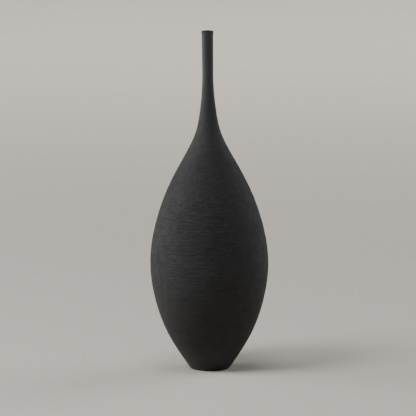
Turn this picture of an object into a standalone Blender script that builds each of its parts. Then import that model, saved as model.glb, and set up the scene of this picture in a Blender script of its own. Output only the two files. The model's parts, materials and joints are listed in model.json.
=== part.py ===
"""A tall black clay bottle: a spindle-shaped body that sweeps up into a thin straight neck.

It is made the way a coil potter makes it. A round slab is the base, and a soft coil is pressed
into the corner above it. Rings of clay stand on the slab one above the other. While the wall opens
out, each ring laps outside the bevelled rim of the ring below, and where it closes in, each laps
inside it. A collar closes the shoulder, a rolled tube is the neck, and a thin ring is the lip.
Every piece is turned about Z.

Units are metres, +Z is up, and the origin is the middle of the underside.
"""

import math

import bpy
import numpy as np

# ---------------------------------------------------------------- driving dimensions

HEIGHT = 0.480
FOOT_RADIUS = 0.0274
BELLY_RADIUS = 0.0832
BELLY_HEIGHT = 0.155
NECK_RADIUS = 0.0079
NECK_HEIGHT = 0.440  # where the neck is thinnest
LIP_RADIUS = 0.0086

# The outer outline as (height, radius), foot to mouth. A smooth curve runs through the points.
OUTLINE = (
    (0.000, FOOT_RADIUS),
    (0.045, 0.0563),
    (0.095, 0.0755),
    (BELLY_HEIGHT, BELLY_RADIUS),
    (0.215, 0.0731),
    (0.265, 0.0542),
    (0.305, 0.0328),  # the wall stops closing in and starts to sweep up
    (0.335, 0.0184),
    (0.365, 0.0118),
    (0.400, 0.0083),
    (NECK_HEIGHT, NECK_RADIUS),
    (HEIGHT, 0.0081),
)

# The wall is thickest in the body and thins through the collar into the neck.
BODY_WALL = 0.0060
NECK_WALL = 0.0030
THINNING_FROM = 0.300
THINNING_TO = 0.400

SLAB_THICKNESS = 0.0080
FOOT_EDGE_ROUND = 0.0015
INNER_COIL_SIZE = 0.0080  # each leg of the coil pressed into the corner above the slab
LIP_HEIGHT = 0.0100
LIP_EDGE_ROUND = 0.0008

# Height of the seam at the top of each ring. The cut is a scarf at 45 degrees through the wall.
SEAMS = {
    "bowl_wall": 0.062,
    "wall_course_1": 0.115,
    "wall_course_2": 0.168,
    "wall_course_3": 0.221,
    "wall_course_4": 0.272,
    "shoulder_course": 0.322,
    "neck_collar": 0.372,
    "neck_tube": HEIGHT - LIP_HEIGHT,
}

JOINT_GAP = 0.0003  # the layer of slip between two pieces
SCARF_GAP = JOINT_GAP * math.sqrt(2)  # the same layer, measured along the wall across a scarf
TURNS = 48  # flats round each ring
PROFILE_STEP = 0.0125  # longest straight stretch of a wall's profile
ARC_STEPS = 3
MERGE = 0.00001

# Linear colours of reduction-fired clay.
FINISHES = {
    "combed_clay": ((0.030, 0.030, 0.031, 1.0), 0.62),
    "smooth_clay": ((0.034, 0.034, 0.035, 1.0), 0.52),
    "raw_clay": ((0.045, 0.044, 0.043, 1.0), 0.85),
}


# ---------------------------------------------------------------- the outline


def smooth_curve(points):
    """A function of height: the cubic spline through the points, with no bend at its two ends."""
    heights, radii = np.array(points).T
    spans = np.diff(heights)
    slopes = np.diff(radii) / spans
    count = len(heights)
    system = np.eye(count)
    target = np.zeros(count)
    for i in range(1, count - 1):
        system[i, i - 1 : i + 2] = spans[i - 1], 2 * (spans[i - 1] + spans[i]), spans[i]
        target[i] = 6 * (slopes[i] - slopes[i - 1])
    bends = np.linalg.solve(system, target)

    def radius(height):
        k = int(np.clip(np.searchsorted(heights, height) - 1, 0, count - 2))
        above, below = heights[k + 1] - height, height - heights[k]
        cubic = (bends[k] * above**3 + bends[k + 1] * below**3) / (6 * spans[k])
        straight = (radii[k] * above + radii[k + 1] * below) / spans[k]
        pull = spans[k] * (bends[k] * above + bends[k + 1] * below) / 6
        return float(cubic + straight - pull)

    return radius


outer_radius = smooth_curve(OUTLINE)


def slope(height, reach=0.0005):
    """How fast the outer radius grows with height."""
    return (outer_radius(height + reach) - outer_radius(height - reach)) / (2 * reach)


def wall_thickness(height):
    """Body wall below the shoulder, neck wall above the collar, and an even blend between."""
    t = min(max((height - THINNING_FROM) / (THINNING_TO - THINNING_FROM), 0.0), 1.0)
    blend = t * t * (3 - 2 * t)
    return BODY_WALL + (NECK_WALL - BODY_WALL) * blend


def inner_radius(height):
    """The wall's thickness is square to its surface, so it is wider where the wall leans."""
    return outer_radius(height) - wall_thickness(height) * math.hypot(1, slope(height))


# ---------------------------------------------------------------- profiles, as (radius, height) points


def arc(centre, radius, start, end):
    """Points along an arc, from one angle to the other, in degrees from the radial direction."""
    angles = np.radians(np.linspace(start, end, ARC_STEPS + 1))
    return [(centre[0] + radius * math.cos(a), centre[1] + radius * math.sin(a)) for a in angles]


def along(curve, start, end):
    """Points on a curve of height, evenly spaced from one height to the other."""
    count = max(2, math.ceil(abs(end - start) / PROFILE_STEP) + 1)
    return [(curve(z), z) for z in np.linspace(start, end, count)]


def scarf(seam):
    """A seam's heights on the outer and on the inner surface: a cut square to the wall, then a lap."""
    thickness, lean = wall_thickness(seam), slope(seam)
    lap = thickness / 2 if seam > BELLY_HEIGHT else -thickness / 2
    square = thickness * lean / math.hypot(1, lean)
    return seam + lap, seam + square - lap


def slab_profile():
    """The base slab from the middle of its top, down its leaning side, to the middle of its underside."""
    lean = slope(SLAB_THICKNESS / 2)
    centre = (FOOT_RADIUS + FOOT_EDGE_ROUND * (lean - math.hypot(1, lean)), FOOT_EDGE_ROUND)
    side_angle = -math.degrees(math.atan(lean))
    edge = arc(centre, FOOT_EDGE_ROUND, side_angle, -90)
    side = along(outer_radius, SLAB_THICKNESS, 2 * FOOT_EDGE_ROUND)
    return [(0, SLAB_THICKNESS), *side, *edge, (0, 0)]


def inner_coil_profile():
    """The coil in the corner of slab and wall: two flat legs and a hollow face wiped with a finger."""
    floor = SLAB_THICKNESS + JOINT_GAP
    top = floor + INNER_COIL_SIZE
    wall_side = [(inner_radius(z) - 2 * JOINT_GAP, z) for z in (top, floor)]
    toe = wall_side[1][0] - INNER_COIL_SIZE
    hollow = []
    for t in np.linspace(0, 1, ARC_STEPS + 2)[1:-1]:
        sag = 0.2 * INNER_COIL_SIZE * math.sin(math.pi * t)
        across = toe + (wall_side[0][0] - toe) * t
        hollow.append((across + sag * math.sqrt(0.5), floor + INNER_COIL_SIZE * t - sag * math.sqrt(0.5)))
    return [*wall_side, (toe, floor), *hollow]


def ring_profile(below, above):
    """One ring of the wall between two seams, each given as its outer and its inner height."""
    outside = along(outer_radius, above[0], below[0] + SCARF_GAP)
    inside = along(inner_radius, below[1] + SCARF_GAP, above[1])
    return outside + inside


def lip_profile(below):
    """The lip flares a little to its rounded rim, with a flat land on top."""
    start = below[0] + SCARF_GAP
    rim = HEIGHT - LIP_EDGE_ROUND
    mouth = inner_radius(HEIGHT - LIP_HEIGHT / 2)

    def flared(z):
        t = (z - start) / (rim - start)
        return outer_radius(start) + (LIP_RADIUS - outer_radius(start)) * t * t

    outside = [(flared(z), z) for z in np.linspace(rim, start, 5)[1:]]
    outer_edge = arc((LIP_RADIUS - LIP_EDGE_ROUND, rim), LIP_EDGE_ROUND, 90, 0)
    inner_edge = arc((mouth + LIP_EDGE_ROUND, rim), LIP_EDGE_ROUND, 180, 90)
    foot = below[1] + SCARF_GAP
    inside = [(inner_radius(foot), foot)]
    return [*outer_edge, *outside, *inside, *inner_edge]


# ---------------------------------------------------------------- objects


def clay(name):
    """A matt Principled BSDF of one finish."""
    colour, roughness = FINISHES[name]
    material = bpy.data.materials.new(name)
    material.use_nodes = True
    shader = material.node_tree.nodes["Principled BSDF"]
    shader.inputs["Base Color"].default_value = colour
    shader.inputs["Roughness"].default_value = roughness
    shader.inputs["Metallic"].default_value = 0.0
    material.diffuse_color = colour
    return material


def turn(name, profile, material, collection, closed=True):
    """An object that is the profile swept once round Z by a Screw modifier."""
    mesh = bpy.data.meshes.new(name)
    count = len(profile)
    edges = [(i, (i + 1) % count) for i in range(count if closed else count - 1)]
    mesh.from_pydata([(r, 0, z) for r, z in profile], edges, [])
    mesh.materials.append(material)
    turned = bpy.data.objects.new(name, mesh)
    collection.objects.link(turned)
    screw = turned.modifiers.new("turn", "SCREW")
    screw.axis = "Z"
    screw.angle = 2 * math.pi
    screw.steps = screw.render_steps = TURNS
    screw.use_merge_vertices = True
    screw.merge_threshold = MERGE
    screw.use_smooth_shade = True
    return turned


def build():
    for old in list(bpy.data.objects):
        bpy.data.objects.remove(old)
    pot = bpy.data.collections.new("black_clay_bottle")
    bpy.context.scene.collection.children.link(pot)
    finish = {name: clay(name) for name in FINISHES}

    turn("base_slab", slab_profile(), finish["raw_clay"], pot, closed=False)
    turn("base_inner_coil", inner_coil_profile(), finish["raw_clay"], pot)

    below = (SLAB_THICKNESS, SLAB_THICKNESS)
    for name, seam in SEAMS.items():
        above = scarf(seam)
        smooth = name.startswith("neck")
        material = finish["smooth_clay" if smooth else "combed_clay"]
        turn(name, ring_profile(below, above), material, pot)
        below = above
    turn("lip_ring", lip_profile(below), finish["smooth_clay"], pot)


build()
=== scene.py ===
# %% [markdown]
# # A black clay bottle
#
# This lesson builds the looks of a tall bottle in matt black clay: a spindle-shaped belly that
# sweeps up into a thin straight neck. The potter works without a wheel. A flat slab is the base,
# rings of clay are luted on it one above the other, and the outside is scraped and combed until no
# join shows. Then the pot is fired in thick smoke, which turns the clay black all through.
#
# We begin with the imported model, which says where every piece of clay is. Everything below is in
# metres, with +Z up and the foot standing at height 0.

# %% Load the frame
import json
import math

import bpy
import numpy as np
from mathutils import Matrix, Vector


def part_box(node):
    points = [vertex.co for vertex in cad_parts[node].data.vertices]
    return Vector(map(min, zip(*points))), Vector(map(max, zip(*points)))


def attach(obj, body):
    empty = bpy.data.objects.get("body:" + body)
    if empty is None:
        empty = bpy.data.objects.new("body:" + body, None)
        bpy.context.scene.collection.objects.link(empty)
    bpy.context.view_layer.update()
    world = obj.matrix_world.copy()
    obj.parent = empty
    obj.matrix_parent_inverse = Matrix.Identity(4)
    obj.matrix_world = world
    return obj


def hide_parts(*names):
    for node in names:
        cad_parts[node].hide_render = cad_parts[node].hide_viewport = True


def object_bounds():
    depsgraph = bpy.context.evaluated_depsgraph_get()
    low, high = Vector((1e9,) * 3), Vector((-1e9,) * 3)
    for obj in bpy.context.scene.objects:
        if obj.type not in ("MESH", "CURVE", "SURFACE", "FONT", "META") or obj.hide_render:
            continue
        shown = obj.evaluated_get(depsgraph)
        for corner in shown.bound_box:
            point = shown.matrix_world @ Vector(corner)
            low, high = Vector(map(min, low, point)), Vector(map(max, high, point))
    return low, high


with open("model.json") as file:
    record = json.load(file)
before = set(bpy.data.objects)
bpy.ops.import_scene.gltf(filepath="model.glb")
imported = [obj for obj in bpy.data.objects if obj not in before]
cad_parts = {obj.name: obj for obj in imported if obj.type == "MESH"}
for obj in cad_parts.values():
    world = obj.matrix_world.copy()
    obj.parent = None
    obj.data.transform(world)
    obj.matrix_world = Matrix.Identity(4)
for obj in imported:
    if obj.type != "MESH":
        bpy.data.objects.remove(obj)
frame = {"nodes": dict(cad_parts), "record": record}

MM = 0.001
frame_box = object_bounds()
HEIGHT = frame_box[1].z
print(f"the frame has {len(frame['nodes'])} pieces of clay and is {HEIGHT / MM:.0f} mm tall")

# %% [markdown]
# ## Reading the pot's outline
#
# Every piece is turned about the same upright axis, so one cut through the wall tells its whole
# shape. A triangle with two corners in the plane of the cut has one edge of the outline there. From
# those edges we can ask, at any height, which edge lies furthest out and which furthest in. A corner
# that is itself the furthest out lies on the outside of the pot, and the same holds for the hollow.

# %% The cut through the wall
STACK = [
    "base_slab", "bowl_wall", "wall_course_1", "wall_course_2", "wall_course_3",
    "wall_course_4", "shoulder_course", "neck_collar", "neck_tube", "lip_ring",
]
RINGS = STACK[1:]
HAIR = 0.01 * MM  # anything closer than this is the same place


def cut_edges(name):
    """The edges of one turned piece that lie in the half-plane of +X, each as two (radius, height)."""
    mesh = frame["nodes"][name].data
    mesh.calc_loop_triangles()
    corners = np.empty(3 * len(mesh.vertices))
    mesh.vertices.foreach_get("co", corners)
    corners = corners.reshape(-1, 3)
    triangles = np.empty(3 * len(mesh.loop_triangles), int)
    mesh.loop_triangles.foreach_get("vertices", triangles)
    triangles = triangles.reshape(-1, 3)
    in_plane = (np.abs(corners[:, 1]) < HAIR) & (corners[:, 0] > -HAIR)
    two = triangles[in_plane[triangles].sum(axis=1) == 2]
    ends = two[in_plane[two]].reshape(-1, 2)
    return corners[ends][:, :, [0, 2]]


def furthest(edges, heights, pick):
    """The radius where the cut's edges cross each height, and the largest or smallest of them."""
    low = edges[np.arange(len(edges)), edges[:, :, 1].argmin(axis=1)]
    high = edges[np.arange(len(edges)), edges[:, :, 1].argmax(axis=1)]
    rise = high[:, 1] - low[:, 1]
    leaning = rise > HAIR
    low, high, rise = low[leaning], high[leaning], rise[leaning]
    share = (heights[:, None] - low[:, 1]) / rise
    crossing = low[:, 0] + share * (high[:, 0] - low[:, 0])
    inside = (share > -HAIR / rise) & (share < 1 + HAIR / rise)
    return pick(np.where(inside, crossing, np.nan), axis=1)


ring_edges = {name: cut_edges(name) for name in STACK}
wall_edges = np.concatenate([ring_edges[name] for name in RINGS])


def surface_points(edges, pick):
    """The corners of the cut that lie on the pot's outer surface, or on its inner one, by height."""
    corners = np.unique(edges.reshape(-1, 2).round(7), axis=0)
    on = np.abs(corners[:, 0] - furthest(edges, corners[:, 1], pick)) < HAIR
    found = corners[on]
    return found[np.argsort(found[:, 1])]


outside = surface_points(np.concatenate([ring_edges["base_slab"], wall_edges]), np.nanmax)
hollow = surface_points(wall_edges, np.nanmin)
print(f"read {len(outside)} corners on the outside and {len(hollow)} in the hollow")

# %% [markdown]
# ## A smooth wall
#
# The corners are joined by a natural cubic spline, which bends evenly through them, so the flats of
# the frame are gone. The foot's rounded edge, the flare of the lip and the edge of the mouth are left
# out, because they get curves of their own later on.

# %% Smooth curves of height


def spline(points):
    """A function of height: cubics that meet with the same slope and bend, straight at both ends."""
    radii, heights = points.T
    spans = np.diff(heights)
    slopes = np.diff(radii) / spans
    system = np.eye(len(points))
    inner = np.arange(1, len(points) - 1)
    system[inner, inner - 1] = spans[:-1]
    system[inner, inner] = 2 * (spans[:-1] + spans[1:])
    system[inner, inner + 1] = spans[1:]
    target = np.zeros(len(points))
    target[1:-1] = 6 * np.diff(slopes)
    bends = np.linalg.solve(system, target)

    def radius(height):
        k = np.clip(np.searchsorted(heights, height) - 1, 0, len(spans) - 1)
        above, below = heights[k + 1] - height, height - heights[k]
        straight = (radii[k] * above + radii[k + 1] * below) / spans[k]
        cubic = (bends[k] * above**3 + bends[k + 1] * below**3) / (6 * spans[k])
        return straight + cubic - spans[k] * (bends[k] * above + bends[k + 1] * below) / 6

    return radius


def thinned(points, low, high, gap=9 * MM):
    """The points between two heights, with any that crowd the one before left out."""
    points = points[(points[:, 1] >= low) & (points[:, 1] <= high)]
    wanted = np.linspace(points[0, 1], points[-1, 1], int((points[-1, 1] - points[0, 1]) / gap))
    nearest = np.abs(points[:, 1] - wanted[:, None]).argmin(axis=1)
    return points[np.unique(nearest)]


FOOT_ROUND = 1.5 * MM
FLARE_START = 3 * MM  # above the lip's lower edge, where it leaves the line of the neck
MOUTH_EDGE = 3 * MM  # below the rim, where the bore begins to round over
slab_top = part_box("base_slab")[1].z
lip_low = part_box("lip_ring")[0].z
outer_radius = spline(thinned(outside, 1.6 * FOOT_ROUND, lip_low + FLARE_START))
inner_radius = spline(thinned(hollow, slab_top, HEIGHT - MOUTH_EDGE))
for height in (0.05, 0.15, 0.30, 0.44):
    out, into = outer_radius(height) / MM, inner_radius(height) / MM
    print(f"at {height:.2f} m the radius is {out:.1f} mm outside and {into:.1f} mm inside")

# %% [markdown]
# ## Where the rings meet
#
# The rings are scarfed: the cut runs slantwise through the wall, so the seam is at one height
# outside and at another inside. The frame keeps a hair of space there for the slip that glues them.
# On the fired pot the slip has become clay, so each seam is put in the middle of that space.

# %% Seam heights


def seam_between(below, above, surface):
    """The middle of the space between two pieces, on the outer or on the inner surface."""
    radii, heights = surface.T

    def ends(name):
        corners = ring_edges[name].reshape(-1, 2)
        apart = np.abs(corners[:, None] - surface[None]).max(axis=2).min(axis=0)
        own = heights[apart < HAIR]
        return own.min(), own.max()

    return (ends(below)[1] + ends(above)[0]) / 2


outer_seams = [seam_between(a, b, outside) for a, b in zip(STACK[:-1], STACK[1:])]
inner_seams = [outer_seams[0]] + [seam_between(a, b, hollow) for a, b in zip(RINGS[:-1], RINGS[1:])]
for name, out, into in zip(RINGS, outer_seams, inner_seams):
    print(f"{name} starts at {out / MM:.1f} mm outside and {into / MM:.1f} mm inside")

# %% [markdown]
# ## Marks of the hand
#
# A hand-built surface is never flat. Three things make it: slow dents from scraping, the ragged
# lines of a comb drawn round and round, and, in the hollow, the ridges that fingers leave. All of
# them are heights above the smooth wall, worked out from angle and height, so they run on over the
# seams without a break. The lines are real relief and not only a trick of the shading, so they also
# show when the light rakes across them. They are strongest over the belly and fainter at the foot and
# on the neck, and on one flank they are half rubbed away, where a wet hand held the pot.
#
# Each mark is made from the same smooth noise: random values on a lattice that is wrapped round the
# pot, with an eased step from one to the next.

# %% Smooth noise round the pot


def noise(angle, height, cells, tall, seed):
    """Random values between -1 and 1 on a lattice, eased from one to the next.
    The lattice has that many cells round the pot, each that tall, and closes on itself."""
    rows = int(HEIGHT / tall) + 8
    lattice = np.random.default_rng(seed).uniform(-1, 1, (rows, cells))
    across = angle / (2 * math.pi) * cells
    up = height / tall + 3
    column, row = np.floor(across).astype(int), np.floor(up).astype(int)
    u, v = across - column, up - row
    u, v = u * u * (3 - 2 * u), v * v * (3 - 2 * v)
    row = np.clip(row, 0, rows - 2)
    column, after = column % cells, (column + 1) % cells
    low = lattice[row, column] * (1 - u) + lattice[row, after] * u
    high = lattice[row + 1, column] * (1 - u) + lattice[row + 1, after] * u
    return low * (1 - v) + high * v


def ease(value, start, end):
    """0 before start, 1 after end, and a smooth step between."""
    t = np.clip((value - start) / (end - start), 0, 1)
    return t * t * (3 - 2 * t)


# %% The combed lines
LINE_DEPTH = 0.22 * MM
LINE_PITCH = 4.5 * MM
FOOT_COMBING = 0.45  # how much of the lines is left at the foot
NECK_COMBING = 0.38
HAND_COMBING = 0.30
HAND_SIDE = math.radians(-35)


def combing(height):
    """How strongly the comb shows: full over the belly, fainter at the foot, a trace on the neck."""
    rising = FOOT_COMBING + (1 - FOOT_COMBING) * ease(height, 0.04, 0.14)
    falling = 1 - (1 - NECK_COMBING) * ease(height, 0.24, 0.34)
    return rising * falling


def pressed(angle, height):
    """1 round most of the pot, and less on one flank, where a wet hand held it and rubbed the marks.
    The rubbed patch is about twice as wide under the belly, where the palm lay."""
    from_hand = np.abs((angle - HAND_SIDE + math.pi) % (2 * math.pi) - math.pi)
    wider = 2.0 - ease(height, 0.11, 0.21)
    unrubbed = ease(from_hand / wider, math.radians(14), math.radians(40))
    return HAND_COMBING + (1 - HAND_COMBING) * unrubbed


def lines(angle, height):
    """The comb's marks, mostly between -1 and 1: a wave of height whose phase and depth wander, which
    gives the rings, two sizes of flat scratch on top of it, and here and there a gouge down to -2."""
    wander = 0.3 * noise(angle, height, 5, 40 * MM, 11) + 0.07 * noise(angle, height, 30, 9 * MM, 12)
    depth = 0.55 + 0.45 * noise(angle, height, 40, 5 * MM, 13)
    ring = depth * np.sin(2 * math.pi * (height / LINE_PITCH + wander))
    wide = noise(angle, height, 40, 2.6 * MM, 14)
    thin = noise(angle, height, 86, 1.3 * MM, 15)
    gouge = ease(noise(angle, height, 40, 2.0 * MM, 16), 0.55, 0.9)
    patch = 1 + 0.3 * noise(angle, height, 8, 38 * MM, 17)
    marks = 0.50 * ring + 0.35 * wide + 1.05 * thin - gouge
    return combing(height) * pressed(angle, height) * patch * marks


# %% The whole relief, outside and in the hollow
DENT_DEPTH = 0.14 * MM
BELLY_HEIGHT = 0.155
COIL_PITCH = 13 * MM
RIDGE_DEPTH = 0.35 * MM
PRESS_DEPTH = 0.20 * MM


def outer_relief(angle, height):
    """The height of the outer surface above the smooth wall: slow dents, which shrink with the
    pot's girth, plus the combed lines."""
    dents = noise(angle, height, 9, 45 * MM, 21) + 0.5 * noise(angle, height, 16, 22 * MM, 22)
    girth = outer_radius(height) / outer_radius(BELLY_HEIGHT)
    return 0.6 * DENT_DEPTH * dents * girth + LINE_DEPTH * lines(angle, height)


def inner_relief(angle, height):
    """Finger ridges in the hollow, one for each coil that was squeezed on, and flatter in the neck."""
    wander = 0.3 * noise(angle, height, 8, 30 * MM, 31)
    ridge = np.sin(2 * math.pi * (height / COIL_PITCH + wander))
    press = noise(angle, height, 24, 6 * MM, 32)
    return (RIDGE_DEPTH * ridge + PRESS_DEPTH * press) * (1 - 0.85 * ease(height, 0.29, 0.37))


sample = LINE_DEPTH * lines(np.linspace(0, 2 * math.pi, 720), np.linspace(0.10, 0.22, 240)[:, None])
print(f"over the belly the lines have an rms height of {sample.std() / MM:.2f} mm")
print(f"the deepest gouge is {-sample.min() / MM:.2f} mm")

# %% [markdown]
# ## From a path to a closed piece
#
# A piece of the pot is a path in the cut, carried once round the axis. We keep the path as a few
# strips, such as outer face, top, inner face and bottom, because the shading should be smooth along
# a strip and crisp where two of them meet. Each strip is a grid of points: its rows follow the path
# and its columns go round. The last row of a strip is the first of the next, so the skin is closed.

# %% Grids of points
COLUMNS = 360
ANGLES = np.arange(COLUMNS) * 2 * math.pi / COLUMNS


def turned(radii, heights):
    """Points at those radii and heights, one row for each, at every angle round the axis."""
    radii = np.broadcast_to(radii, (len(radii), COLUMNS))
    heights = np.broadcast_to(heights, (len(heights), COLUMNS))
    return np.stack([radii * np.cos(ANGLES), radii * np.sin(ANGLES), heights], axis=2)


def turned_row(radius, height):
    """One row of points at that height. The radius is one number, or one for each angle."""
    return turned(np.reshape(radius, (1, -1)), np.reshape(height, (1, -1)))[0]


def grid_normals(grid):
    """The direction square to a grid at each point: round the axis crossed with along the path."""
    around = np.roll(grid, -1, axis=1) - np.roll(grid, 1, axis=1)
    square = np.cross(around, np.gradient(grid, axis=0))
    length = np.linalg.norm(square, axis=2, keepdims=True)
    return square / np.maximum(length, 1e-15)


def strip(grid, spare=0):
    """A strip is a grid with its normals. Spare rows at both ends steady the normals, then go."""
    normals = grid_normals(grid)
    keep = slice(spare, len(grid) - spare)
    return grid[keep], normals[keep]


# %% Faces of a closed skin
DOWN, UP = (0, 0, -1), (0, 0, 1)


def between_rows(here, there):
    """The four corners of each face: two along a row, then two back along the next row."""
    return np.stack([here, np.roll(here, -1, 1), np.roll(there, -1, 1), there], axis=2)


def unrolled(rows, count):
    """The skin laid flat: u is the share of a full turn, and v is the way along the path."""
    way = np.cumsum(np.linalg.norm(np.diff(rows[:, 0], axis=0), axis=1))
    way = np.concatenate([[0], way, way[-1:]])
    u, v = np.meshgrid(np.arange(COLUMNS + 1) / COLUMNS, way[: count + 1])
    flat = np.stack([u, v], axis=2)
    corners = [flat[:-1, :-1], flat[:-1, 1:], flat[1:, 1:], flat[1:, :-1]]
    return np.stack(corners, axis=2).reshape(-1, 2)


def skin(strips, poles=()):
    """Points, faces, corner normals and flat map of strips that follow each other round the cut.
    Without poles the last row joins the first. With two poles, the path starts and ends on them,
    and a fan of triangles closes each end."""
    grids = [grid[:-1] for grid, _ in strips]
    if poles:
        grids[-1] = strips[-1][0]
    rows = np.concatenate(grids)
    index = np.arange(len(rows) * COLUMNS).reshape(len(rows), COLUMNS)
    here = index[:-1] if poles else index
    there = index[1:] if poles else np.roll(index, -1, axis=0)
    lower = np.concatenate([normals[:-1] for _, normals in strips])
    upper = np.concatenate([normals[1:] for _, normals in strips])
    spots = rows.reshape(-1, 3)
    faces = between_rows(here, there).reshape(-1, 4).tolist()
    shading = [between_rows(lower, upper).reshape(-1, 3)]
    flat = [unrolled(rows, len(here))]
    for pole, edge, side in zip(poles, (index[0], index[-1]), (DOWN, UP)):
        after = np.roll(edge, -1)
        tip = np.full(COLUMNS, len(spots))
        fan = [edge, after, tip] if side == UP else [after, edge, tip]
        spots = np.concatenate([spots, [pole]])
        faces += np.stack(fan, axis=1).tolist()
        shading.append(np.tile(side, (3 * COLUMNS, 1)))
        flat.append(np.tile((0.5, 0.0), (3 * COLUMNS, 1)))
    return spots, faces, np.concatenate(shading), np.concatenate(flat)


# %% [markdown]
# The clay's colour follows two things that only the shape knows: where the comb's ridges are, and
# which points are in the hollow. The ridges are painted lighter than the grooves, partly for their
# burnish and partly as painted shade in the grooves, and the hollow gets painted shade. Both are
# worked out at every point and stored with the mesh, so that the material can read them.

# %% Marks that the skin carries
SKIN_DEPTH = 1 * MM  # a point less deep than this is on the outer surface
UNDERSIDE = 1 * MM  # a point lower than this is under the foot
HOLLOW_SHADE_FROM = 0.9 * MM  # depth in the wall where the hollow's painted shade begins
HOLLOW_SHADE_FULL = 2.6 * MM


def comb_marks(x, y, z):
    """The comb's marks at points of the outer surface, and 0 at points in or under the wall."""
    on_skin = np.hypot(x, y) > outer_radius(z) - SKIN_DEPTH
    marks = lines(np.arctan2(y, x) % (2 * math.pi), z)
    return np.where(on_skin & (z > UNDERSIDE), marks, 0)


def hollow_painted_shade(x, y, z):
    """Painted shade: 1 on the walls of the hollow and on the inner part of the rim's land, and 0 on the
    outside.
    """
    depth = outer_radius(z) - np.hypot(x, y)
    return np.where(z > UNDERSIDE, ease(depth, HOLLOW_SHADE_FROM, HOLLOW_SHADE_FULL), 0)


# %% From arrays to a piece


def piece_mesh(name, strips, poles=()):
    """One closed mesh with its own normals, its flat map and the marks that it carries."""
    spots, faces, shading, flat = skin(strips, poles)
    mesh = bpy.data.meshes.new(name)
    mesh.from_pydata(spots, [], faces)
    layout = mesh.uv_layers.new(name="turned")
    layout.data.foreach_set("uv", flat.astype(np.float32).ravel())
    mesh.polygons.foreach_set("use_smooth", np.ones(len(mesh.polygons), bool))
    mesh.normals_split_custom_set(shading.astype(np.float32))
    for kind, pattern in (("comb", comb_marks), ("hollow", hollow_painted_shade)):
        layer = mesh.attributes.new(kind, "FLOAT", "POINT")
        layer.data.foreach_set("value", pattern(*spots.T).astype(np.float32))
    mesh.update()
    return mesh


def set_out(name, mesh, finish):
    """Puts a mesh in the scene as the piece that stands for the frame's node of that name."""
    piece = bpy.data.objects.new("clay_" + name, mesh)
    bpy.context.scene.collection.objects.link(piece)
    mesh.materials.append(finish)
    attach(piece, "root")
    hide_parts(name)
    triangles = sum(len(p.vertices) - 2 for p in mesh.polygons)
    print(f"{piece.name}: {triangles} triangles")


# %% [markdown]
# ## The clay itself
#
# Black clay is matt but not dead. Its colour drifts a little where the smoke was thinner, and grains
# of sand sit in it. The ridges that the comb leaves are a shade lighter than the grooves, partly the
# burnish of the ridges and partly painted shade in the grooves. The foot's edge is worn paler, and
# the paleness runs on up the lower taper as painted light from the floor, while the lower belly is
# painted darker, a painted shade. Towards the mouth the potter's wet fingers have closed the skin,
# so there it is lighter and less rough, except for the land of the rim, which was cut and left matt.
# The hollow and the inner part of the land are painted dark, a painted shade.
#
# One recipe makes all three finishes, and they differ only in how much sand shows. The patterns are
# read at the piece's own place in space, and the comb's marks and the painted shade of the hollow from
# the attributes that came with the mesh, so shading and relief agree.

# %% A node helper


class Recipe:
    """A material under construction, with short words for the nodes that the clay needs."""

    def __init__(self, name):
        self.material = bpy.data.materials.new(name)
        self.material.use_nodes = True
        self.tree = self.material.node_tree
        self.shader = self.tree.nodes["Principled BSDF"]

    def node(self, kind, values=None, **settings):
        """A new node. Each value is set on its socket, or linked to it if it is another node's output."""
        made = self.tree.nodes.new(kind)
        for key, value in settings.items():
            setattr(made, key, value)
        for socket, value in (values or {}).items():
            if isinstance(value, bpy.types.NodeSocket):
                self.tree.links.new(value, made.inputs[socket])
            else:
                made.inputs[socket].default_value = value
        return made

    def noise(self, place, scale, detail=2.0, rough=0.5):
        """Cloudy values between 0 and 1, with about that many clouds to a metre."""
        values = {"Vector": place, "Scale": scale, "Detail": detail, "Roughness": rough}
        return self.node("ShaderNodeTexNoise", values).outputs["Fac"]

    def span(self, value, low, high, to_low, to_high):
        """to_low where the value is below low, to_high where it is above high, eased in between."""
        values = {"Value": value, "From Min": low, "From Max": high, "To Min": to_low, "To Max": to_high}
        return self.node("ShaderNodeMapRange", values, interpolation_type="SMOOTHSTEP").outputs["Result"]

    def math(self, operation, *values):
        """The result of one step of arithmetic on values or outputs."""
        return self.node("ShaderNodeMath", dict(enumerate(values)), operation=operation).outputs[0]


# %% The shade of the clay
COMB_BURNISH_AND_SHADE = 0.22  # how much lighter a ridge is than the clay between: partly burnish, partly painted shade in the grooves
CLOSED_SHADE = 0.65  # what wet fingers add towards the mouth
HOLLOW_SHADE = -0.8  # painted shade: what is taken off the colour in the hollow


def clay_shade(r, place, height, streak, sand, grain):
    """The colour's strength: a product of patterns, each of which is about 1 on plain clay."""
    smoke = r.noise(place, 14, detail=3)
    comb = r.node("ShaderNodeAttribute", attribute_name="comb").outputs["Fac"]
    hollow = r.node("ShaderNodeAttribute", attribute_name="hollow").outputs["Fac"]
    # paler at the foot: worn at the edge, and painted light from the floor up over the lower taper
    wear_and_painted_light = r.span(height, 4 * MM, 0.045, 1.55, 1.0)
    # painted shade: darker over the lower belly, against the light thrown up by the floor
    painted_low_shade = r.span(height, 0.05, 0.17, 0.70, 1.0)
    closed = r.span(height, 0.24, 0.42, 0.0, 1.0)
    patterns = [
        r.span(streak, 0.25, 0.75, 0.95, 1.05),
        r.span(sand, 0.70, 0.80, 1.0, 1.0 + 2.5 * grain),
        # ridges lighter and grooves darker: partly burnish, partly painted shade in the grooves
        r.math("MULTIPLY_ADD", comb, COMB_BURNISH_AND_SHADE, 1.0),
        r.math("MULTIPLY_ADD", closed, CLOSED_SHADE, wear_and_painted_light),
        painted_low_shade,
        # painted shade in the hollow and on the inner part of the land
        r.math("MULTIPLY_ADD", hollow, HOLLOW_SHADE, 1.0),
    ]
    shade = r.span(smoke, 0.3, 0.7, 0.92, 1.08)
    for pattern in patterns:
        shade = r.math("MULTIPLY", shade, pattern)
    return shade


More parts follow.
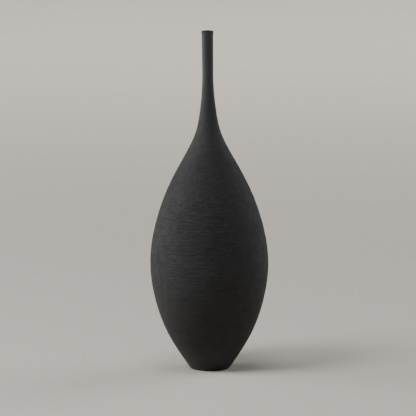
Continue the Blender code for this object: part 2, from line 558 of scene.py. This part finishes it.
# %% Roughness and fine relief
ROUGHNESS = 0.80
WIPED_GLOSS = 0.28  # what wiping takes off the roughness
RIM_LAND = (1.5 * MM, 0.3 * MM)  # distances below the rim between which the gloss ends


def clay_roughness(r, height, patches):
    """Matt, with slow patches, and less rough where wet fingers wiped the neck up to the land."""
    matt = r.span(patches, 0.3, 0.7, ROUGHNESS - 0.05, ROUGHNESS + 0.05)
    wiped = r.span(height, 0.36, 0.44, 0.0, 1.0)
    below_rim = r.span(height, HEIGHT - RIM_LAND[0], HEIGHT - RIM_LAND[1], 1.0, 0.0)
    return r.math("MULTIPLY_ADD", r.math("MULTIPLY", wiped, below_rim), -WIPED_GLOSS, matt)


def clay_bump(r, streak, sand, patches, grain):
    """Relief that is too fine for the mesh, in metres: streaks, grains of sand and slow patches."""
    bumps = r.math("MULTIPLY", streak, 0.05 * MM)
    bumps = r.math("MULTIPLY_ADD", sand, 0.35 * MM * grain, bumps)
    bumps = r.math("MULTIPLY_ADD", patches, 0.04 * MM, bumps)
    bump = r.node("ShaderNodeBump", {"Height": bumps, "Distance": 1.0, "Strength": 1.0})
    return bump.outputs["Normal"]


# %% The clay recipe
SOOT = (0.0256, 0.0260, 0.0277)  # linear colour of clay that was fired in smoke


def clay(name, grain):
    """A finish of black clay. The grain says how much sand shows in it."""
    r = Recipe(name)
    place = r.node("ShaderNodeTexCoord").outputs["Object"]
    height = r.node("ShaderNodeSeparateXYZ", {"Vector": place}).outputs["Z"]
    squashed = r.node("ShaderNodeMapping", {"Vector": place, "Scale": (1, 1, 9)}).outputs["Vector"]
    streak = r.noise(squashed, 90, detail=3, rough=0.6)
    sand = r.noise(place, 1700, detail=1)
    patches = r.noise(place, 90, detail=2)
    shade = clay_shade(r, place, height, streak, sand, grain)
    scaled = r.node("ShaderNodeVectorMath", {0: SOOT, "Scale": shade}, operation="SCALE")
    r.tree.links.new(scaled.outputs["Vector"], r.shader.inputs["Base Color"])
    r.tree.links.new(clay_roughness(r, height, patches), r.shader.inputs["Roughness"])
    r.tree.links.new(clay_bump(r, streak, sand, patches, grain), r.shader.inputs["Normal"])
    r.shader.inputs["Specular IOR Level"].default_value = 0.3
    print(f"mixed {name} from {len(r.tree.nodes)} nodes")
    return r.material


# %% Three finishes
GRAINS = {"combed_clay": 0.12, "smooth_clay": 0.08, "raw_clay": 0.20}
FINISHES = {name: clay(name, grain) for name, grain in GRAINS.items()}
slots = {s["node"]: s["material_slot"] for s in frame["record"]["subparts"]}

# %% [markdown]
# ## The rings of the wall
#
# A ring's outer face follows the smooth wall plus the marks of the hand, and its inner face the
# hollow. The two scarf faces are straight from one to the other. They lie inside the wall, where
# each is shared with the neighbour, so they stay plain.

# %% Strips of a ring
COMBED_STEP = 0.45 * MM  # ten rows to each of the comb's lines
SMOOTH_STEP = 0.60 * MM
INNER_STEP = 1.8 * MM
SCARF_ROWS = 7
MEASURING_POINTS = 2000


def even_heights(radius, start, end, step):
    """Heights from start to end, with even steps along the curve and one spare step past each end."""
    fine = np.linspace(start, end, MEASURING_POINTS)
    run = np.concatenate([[0], np.cumsum(np.hypot(np.diff(fine), np.diff(radius(fine))))])
    count = max(4, math.ceil(run[-1] / step))
    heights = np.interp(np.linspace(0, run[-1], count + 1), run, fine)
    first, last = heights[1] - heights[0], heights[-1] - heights[-2]
    return np.concatenate([[heights[0] - first], heights, [heights[-1] + last]])


def face(radius, relief, start, end, step):
    """A strip of the wall's surface between two heights, with its relief."""
    heights = even_heights(radius, start, end, step)[:, None]
    return strip(turned(radius(heights) + relief(ANGLES, heights), heights), spare=1)


def bridge(first, last, count=SCARF_ROWS):
    """A straight strip from one row of points to another."""
    share = np.linspace(0, 1, count)[:, None, None]
    return strip(first[None] * (1 - share) + last[None] * share)


def ring(outer_low, outer_high, inner_low, inner_high, step):
    """The four strips of a ring: outer face up, top scarf in, inner face down, bottom scarf out."""
    out = face(outer_radius, outer_relief, outer_low, outer_high, step)
    into = face(inner_radius, inner_relief, inner_high, inner_low, INNER_STEP)
    return [out, bridge(out[0][-1], into[0][0]), into, bridge(into[0][-1], out[0][0])]


# %% Build the rings
for k, name in enumerate(RINGS[:-1]):
    step = COMBED_STEP if slots[name] == "combed_clay" else SMOOTH_STEP
    strips = ring(outer_seams[k], outer_seams[k + 1], inner_seams[k], inner_seams[k + 1], step)
    set_out(name, piece_mesh(name, strips), FINISHES[slots[name]])

# %% [markdown]
# ## The lip
#
# The last ring flares by half a millimetre and ends in a flat land with soft edges, a little uneven
# because it was cut by hand. Its path runs up the outside, over the rim and down into the bore as one
# strip, so that the light rolls over it. The rounded edges are arcs, and the whole path is then given
# evenly spaced points.

# %% Arcs and evenly spaced paths


def arc(centre, radius, start, end, count):
    """Points of a circle's arc in the cut, from one angle to the other, in degrees."""
    angles = np.radians(np.linspace(start, end, count))
    return np.stack([centre[0] + radius * np.cos(angles), centre[1] + radius * np.sin(angles)], axis=1)


def resampled(path, step):
    """The same path with evenly spaced points."""
    run = np.concatenate([[0], np.cumsum(np.linalg.norm(np.diff(path, axis=0), axis=1))])
    wanted = np.linspace(0, run[-1], math.ceil(run[-1] / step) + 1)
    return np.stack([np.interp(wanted, run, path[:, 0]), np.interp(wanted, run, path[:, 1])], axis=1)


# %% Build the lip
RIM_EDGE = 0.45 * MM  # the rounding on both sides of the land
FLARE_END = 1.4 * MM  # below the rim, where the lip has its full width
RIM_DIP = 0.08 * MM  # half of how far the land may sink
MOUTH_DEPTH = 5 * MM  # below the rim, where the width of the mouth is read
LIP_STEP = 0.35 * MM
BORE_ROWS = 8


def lip_outline(low, rim_radius):
    """The outside up to the rounding: the line of the neck plus a flare that grows as a square."""
    heights = even_heights(outer_radius, low, HEIGHT - RIM_EDGE, COMBED_STEP)[:-1]
    rising = np.clip((heights - low) / (HEIGHT - FLARE_END - low), 0, 1)
    flared = outer_radius(low) + (rim_radius - outer_radius(low)) * rising**2
    return np.stack([np.where(heights < low, outer_radius(heights), flared), heights], axis=1)


def lip_path(low, into):
    """Up the outside, over the rim and down the bore, with one spare point before the start."""
    rim_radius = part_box("lip_ring")[1].x
    mouth = inner_radius(HEIGHT - MOUTH_DEPTH)
    top = HEIGHT - RIM_EDGE
    outline = lip_outline(low, rim_radius)
    over = arc((rim_radius - RIM_EDGE, top), RIM_EDGE, 0, 90, 10)[1:]
    back = arc((mouth + RIM_EDGE, top), RIM_EDGE, 90, 180, 10)
    bore = np.stack([np.full(BORE_ROWS, mouth), np.linspace(top, into, BORE_ROWS)], axis=1)[1:]
    bore[-1, 0] = inner_radius(into)
    rest = np.concatenate([outline[1:], over, back, bore])
    return np.concatenate([outline[:1], resampled(rest, LIP_STEP)])


def lip_strips():
    """Outside, rim and bore as one strip, closed by the scarf that sits on the neck."""
    low, into = outer_seams[-1], inner_seams[-1]
    path = lip_path(low, into)
    radii, heights = path[:, :1], path[:, 1:]
    relief = outer_relief(ANGLES, heights) * (1 - ease(heights, low, low + 6 * MM))
    uneven = noise(ANGLES, np.full_like(heights, HEIGHT), 13, 45 * MM, 41) - 1
    dip = RIM_DIP * uneven * ease(heights, HEIGHT - 4 * MM, HEIGHT)
    grid, normals = strip(turned(radii + relief, heights + dip))
    grid, normals = grid[1:], normals[1:]
    grid[-1] = turned_row(inner_radius(into) + inner_relief(ANGLES, into), into)
    return [(grid, normals), bridge(grid[-1], grid[0])]


set_out("lip_ring", piece_mesh("lip_ring", lip_strips()), FINISHES[slots["lip_ring"]])

# %% [markdown]
# ## The base slab and the coil inside
#
# The slab was cut from its board with a wire, which leaves shallow arcs on the underside. They fade
# before the foot's edge, which is rubbed round and stands flat. The slab is a disc, so its path starts
# in the middle of the underside and ends in the middle of the top, and both ends are closed by a fan.

# %% Build the slab
HUB = 0.4 * MM  # radius of the small ring of points round each middle
EDGE_STEP = 0.25 * MM
WIRE_CENTRE = (-60 * MM, 25 * MM)
WIRE_PITCH = 3.1 * MM
WIRE_DEPTH = 0.06 * MM  # half of the height from groove to ridge
SCUFF_DEPTH = 0.05 * MM
UNDER_ROWS = 60
TOP_ROWS = 30


def wire_marks(across, flat):
    """How far the underside is lifted: arcs round a far centre, plus scuffs, and nothing near the edge."""
    x = across * np.cos(ANGLES) - WIRE_CENTRE[0]
    y = across * np.sin(ANGLES) - WIRE_CENTRE[1]
    wire = WIRE_DEPTH * (1 + np.sin(2 * math.pi * np.hypot(x, y) / WIRE_PITCH))
    scuffs = SCUFF_DEPTH * (1 + noise(ANGLES, across, 12, 6 * MM, 51))
    return (wire + scuffs) * (1 - ease(across, flat - 3 * MM, flat - 1 * MM))


def slab_strips():
    """From the middle of the underside out, round the foot's edge, up the side and back in on top."""
    seam = outer_seams[0]
    foot = outside[outside[:, 1] <= 2 * FOOT_ROUND]
    flat = foot[foot[:, 1] < HAIR, 0].max()
    edge = resampled(foot[np.argsort(foot[:, 1])], EDGE_STEP)
    side = np.append(np.arange(edge[-1, 1] + COMBED_STEP, seam, COMBED_STEP)[:-1], seam)
    path = np.concatenate([edge, np.stack([outer_radius(side), side], axis=1)])
    radii, heights = path[:, :1], path[:, 1:]
    relief = outer_relief(ANGLES, heights) * ease(heights, 0.5 * MM, 4 * MM)
    out = strip(turned(radii + relief, heights))
    across = np.linspace(HUB, flat, UNDER_ROWS)[:, None]
    lift = wire_marks(across, flat)
    under = strip(turned(across, lift))
    top = bridge(out[0][-1], turned_row(HUB, seam), TOP_ROWS)
    return [under, out, top], ((0, 0, float(lift.mean())), (0, 0, float(seam)))


slab = piece_mesh("base_slab", *slab_strips())
set_out("base_slab", slab, FINISHES[slots["base_slab"]])

# %% [markdown]
# Inside, a soft coil is pressed into the corner of slab and wall. Its outline comes from the frame,
# and the face towards the hollow is pushed in by a ring of thumb marks, so the coil is a little
# smaller there: its size round its own middle is a wave of the angle.

# %% Build the inner coil
COIL_STEP = 0.8 * MM
THUMBS = 11
THUMB_DEPTH = 0.06  # half of a thumb mark's depth, as a share of the coil's radius


def coil_strips():
    """The coil's own outline in the cut, with thumb marks pressed into its hollow face."""
    corners = np.unique(cut_edges("base_inner_coil").reshape(-1, 2).round(6), axis=0)
    centre = corners.mean(axis=0)
    turn = np.arctan2(corners[:, 1] - centre[1], corners[:, 0] - centre[0])
    loop = corners[np.argsort(turn)]
    away = resampled(np.concatenate([loop, loop[:1]]), COIL_STEP) - centre
    thumbs = THUMB_DEPTH * (1 + np.sin(THUMBS * ANGLES + 1.3 * np.sin(2 * ANGLES)))
    towards_hollow = ease(away[:, 1:] - away[:, :1], 0, 3 * MM)
    size = 1 - thumbs * towards_hollow
    return [strip(turned(centre[0] + away[:, :1] * size, centre[1] + away[:, 1:] * size))]


coil = piece_mesh("base_inner_coil", coil_strips())
set_out("base_inner_coil", coil, FINISHES[slots["base_inner_coil"]])

# %% [markdown]
# ## The camera
#
# The bottle is looked at from a little above, from far away and through a long lens, which keeps its
# outline true. The camera is rolled by half a degree, as one that was set up by eye is.

# %% Camera
CAMERA_DISTANCE = 8.0
CAMERA_ELEVATION = 9.5  # degrees above the level of the bottle's middle
CAMERA_ROLL = 0.47  # degrees
LENS = 492.0

middle = Vector((0, 0, HEIGHT / 2))
aim = middle + Vector((-1.2 * MM, 0, -11.4 * MM))


def outward(azimuth, elevation):
    """The direction from the bottle to a place round it. Azimuth 0 is at the camera, 90 on the right."""
    a, e = math.radians(azimuth), math.radians(elevation)
    return Vector((math.sin(a) * math.cos(e), -math.cos(a) * math.cos(e), math.sin(e)))


def facing(place, target):
    """The turn that makes a camera or a lamp at a place look at the target."""
    return (target - place).to_track_quat("-Z", "Y")


lens = bpy.data.cameras.new("camera")
lens.lens = LENS
lens.clip_end = 100.0
camera = bpy.data.objects.new("camera", lens)
bpy.context.scene.collection.objects.link(camera)
camera.location = middle + CAMERA_DISTANCE * outward(0, CAMERA_ELEVATION)
roll = Matrix.Rotation(math.radians(-CAMERA_ROLL), 3, "Z")
camera.rotation_euler = (facing(camera.location, aim).to_matrix() @ roll).to_euler()
bpy.context.scene.camera = camera
print(f"the camera is {CAMERA_DISTANCE} m away with a {LENS:.0f} mm lens")

# %% [markdown]
# ## The floor and the backdrop
#
# The bottle stands on a wide pale floor. Seen from above, the floor fills the picture. Seen level, it
# would end in a dark line, so far out it runs up into a curved canvas, as in a studio. The canvas
# glows by itself in the floor's own tone and blends in by distance. Only the camera sees it: it
# sends no light, casts no shadow and shows in no gloss, so the bottle looks the same with or without.

# %% Floor
HALF_FLOOR = 14.0
floor_corners = [(x * HALF_FLOOR, y * HALF_FLOOR, 0) for x, y in ((-1, -1), (1, -1), (1, 1), (-1, 1))]
floor_mesh = bpy.data.meshes.new("floor")
floor_mesh.from_pydata(floor_corners, [], [(0, 1, 2, 3)])
floor = bpy.data.objects.new("floor", floor_mesh)
bpy.context.scene.collection.objects.link(floor)

plaster = Recipe("plaster")
plaster.shader.inputs["Base Color"].default_value = (0.76, 0.71, 0.635, 1)
plaster.shader.inputs["Roughness"].default_value = 0.9
floor_mesh.materials.append(plaster.material)
print(f"the floor is {2 * HALF_FLOOR:.0f} m square")

# %% Backdrop
SWEEP_FROM = 4.0  # distance from the bottle where the canvas begins to show
SWEEP_FULL = 5.6
SWEEP_BEND = 2.0
OFF_FLOOR = 2 * MM
WALL_RADIUS = 13.0
WALL_HEIGHT = 9.0

bend = arc((WALL_RADIUS - SWEEP_BEND, SWEEP_BEND + OFF_FLOOR), SWEEP_BEND, -90, 0, 12)
profile = np.concatenate([[(SWEEP_FROM, OFF_FLOOR)], bend, [(WALL_RADIUS, WALL_HEIGHT)]])
spots = turned(profile[:, :1], profile[:, 1:]).reshape(-1, 3)
index = np.arange(len(spots)).reshape(-1, COLUMNS)
quads = between_rows(index[1:], index[:-1]).reshape(-1, 4)
wall_mesh = bpy.data.meshes.new("backdrop")
wall_mesh.from_pydata(spots, [], quads.tolist())
wall = bpy.data.objects.new("backdrop", wall_mesh)
bpy.context.scene.collection.objects.link(wall)
print(f"the backdrop has {len(quads)} faces")

# %% Canvas
canvas = Recipe("canvas")
place = canvas.node("ShaderNodeTexCoord").outputs["Object"]
away = canvas.node("ShaderNodeVectorMath", {0: place}, operation="LENGTH").outputs["Value"]
glow = canvas.node("ShaderNodeEmission", {"Color": (1.0, 0.955, 0.89, 1), "Strength": 0.56})
clear = canvas.node("ShaderNodeBsdfTransparent")
blend = {0: canvas.span(away, SWEEP_FROM, SWEEP_FULL, 0, 1), 1: clear.outputs[0], 2: glow.outputs[0]}
mixed = canvas.node("ShaderNodeMixShader", blend)
canvas.tree.links.new(mixed.outputs[0], canvas.tree.nodes["Material Output"].inputs["Surface"])
wall_mesh.materials.append(canvas.material)
wall.visible_diffuse = False
wall.visible_glossy = False
wall.visible_shadow = False

# %% [markdown]
# ## The light
#
# The main light is a large soft window low on the left, so the clay runs from grey at that edge to
# nearly black past the middle. A patch of sky shines from higher up on the same side, and a weak
# ceiling light catches the shoulder and the rim. On the right, the light of the room comes from a
# little behind and puts a paler line down that edge, and a narrow gap of light at the side widens it.
# All of these are panels that face the bottle.
#
# Four more panels hang level above the floor, well away from the bottle, and shine straight down, so
# that the far floor is as pale as the floor round the foot.

# %% Lights on the bottle
WARM = (1.0, 0.985, 0.96)
COOL = (0.96, 0.98, 1.0)


def panel(name, azimuth, elevation, distance, width, height, power, colour):
    """A soft rectangular light that faces the bottle, with its sizes in metres and power in watts."""
    data = bpy.data.lights.new(name, "AREA")
    data.shape = "RECTANGLE"
    data.size, data.size_y = width, height
    data.energy = power
    data.color = colour
    lamp = bpy.data.objects.new(name, data)
    bpy.context.scene.collection.objects.link(lamp)
    lamp.location = middle + distance * outward(azimuth, elevation)
    lamp.rotation_euler = facing(lamp.location, middle).to_euler()
    print(f"{name}: {power} W from a panel of {width} by {height} m")
    return lamp


panel("window", azimuth=-98, elevation=10, distance=5.5, width=5.1, height=1.9, power=276, colour=WARM)
panel("sky", azimuth=-60, elevation=50, distance=2.6, width=1.0, height=1.0, power=34, colour=COOL)
panel("ceiling", azimuth=0, elevation=75, distance=2.6, width=1.2, height=1.2, power=16, colour=WARM)
panel("room", azimuth=120, elevation=20, distance=5.5, width=4.2, height=2.1, power=131, colour=COOL)
panel("gap", azimuth=78, elevation=12, distance=5.5, width=0.5, height=2.5, power=17, colour=COOL)

# %% Lights on the far floor
FLOOR_LAMP_OUT = 3.6
FLOOR_LAMP_UP = 2.4
FLOOR_LAMP_SPREAD = 100  # degrees

for azimuth in (0, 90, 180, 270):
    lamp = panel(f"floor_{azimuth}", azimuth, 0, FLOOR_LAMP_OUT, 5.0, 2.5, 36, WARM)
    lamp.location.z = FLOOR_LAMP_UP
    lamp.rotation_euler = (0, 0, math.radians(azimuth))
    lamp.data.spread = math.radians(FLOOR_LAMP_SPREAD)

# %% A trace of light from everywhere
world = bpy.data.worlds.new("world")
world.use_nodes = True
world.node_tree.nodes["Background"].inputs["Color"].default_value = (*WARM, 1)
world.node_tree.nodes["Background"].inputs["Strength"].default_value = 0.03
bpy.context.scene.world = world

# %% [markdown]
# ## The frame's size
#
# We print the size of the frame's box, in millimetres.

# %% The frame's size
print("frame ", [round(v / MM, 2) for v in (frame_box[1] - frame_box[0])])
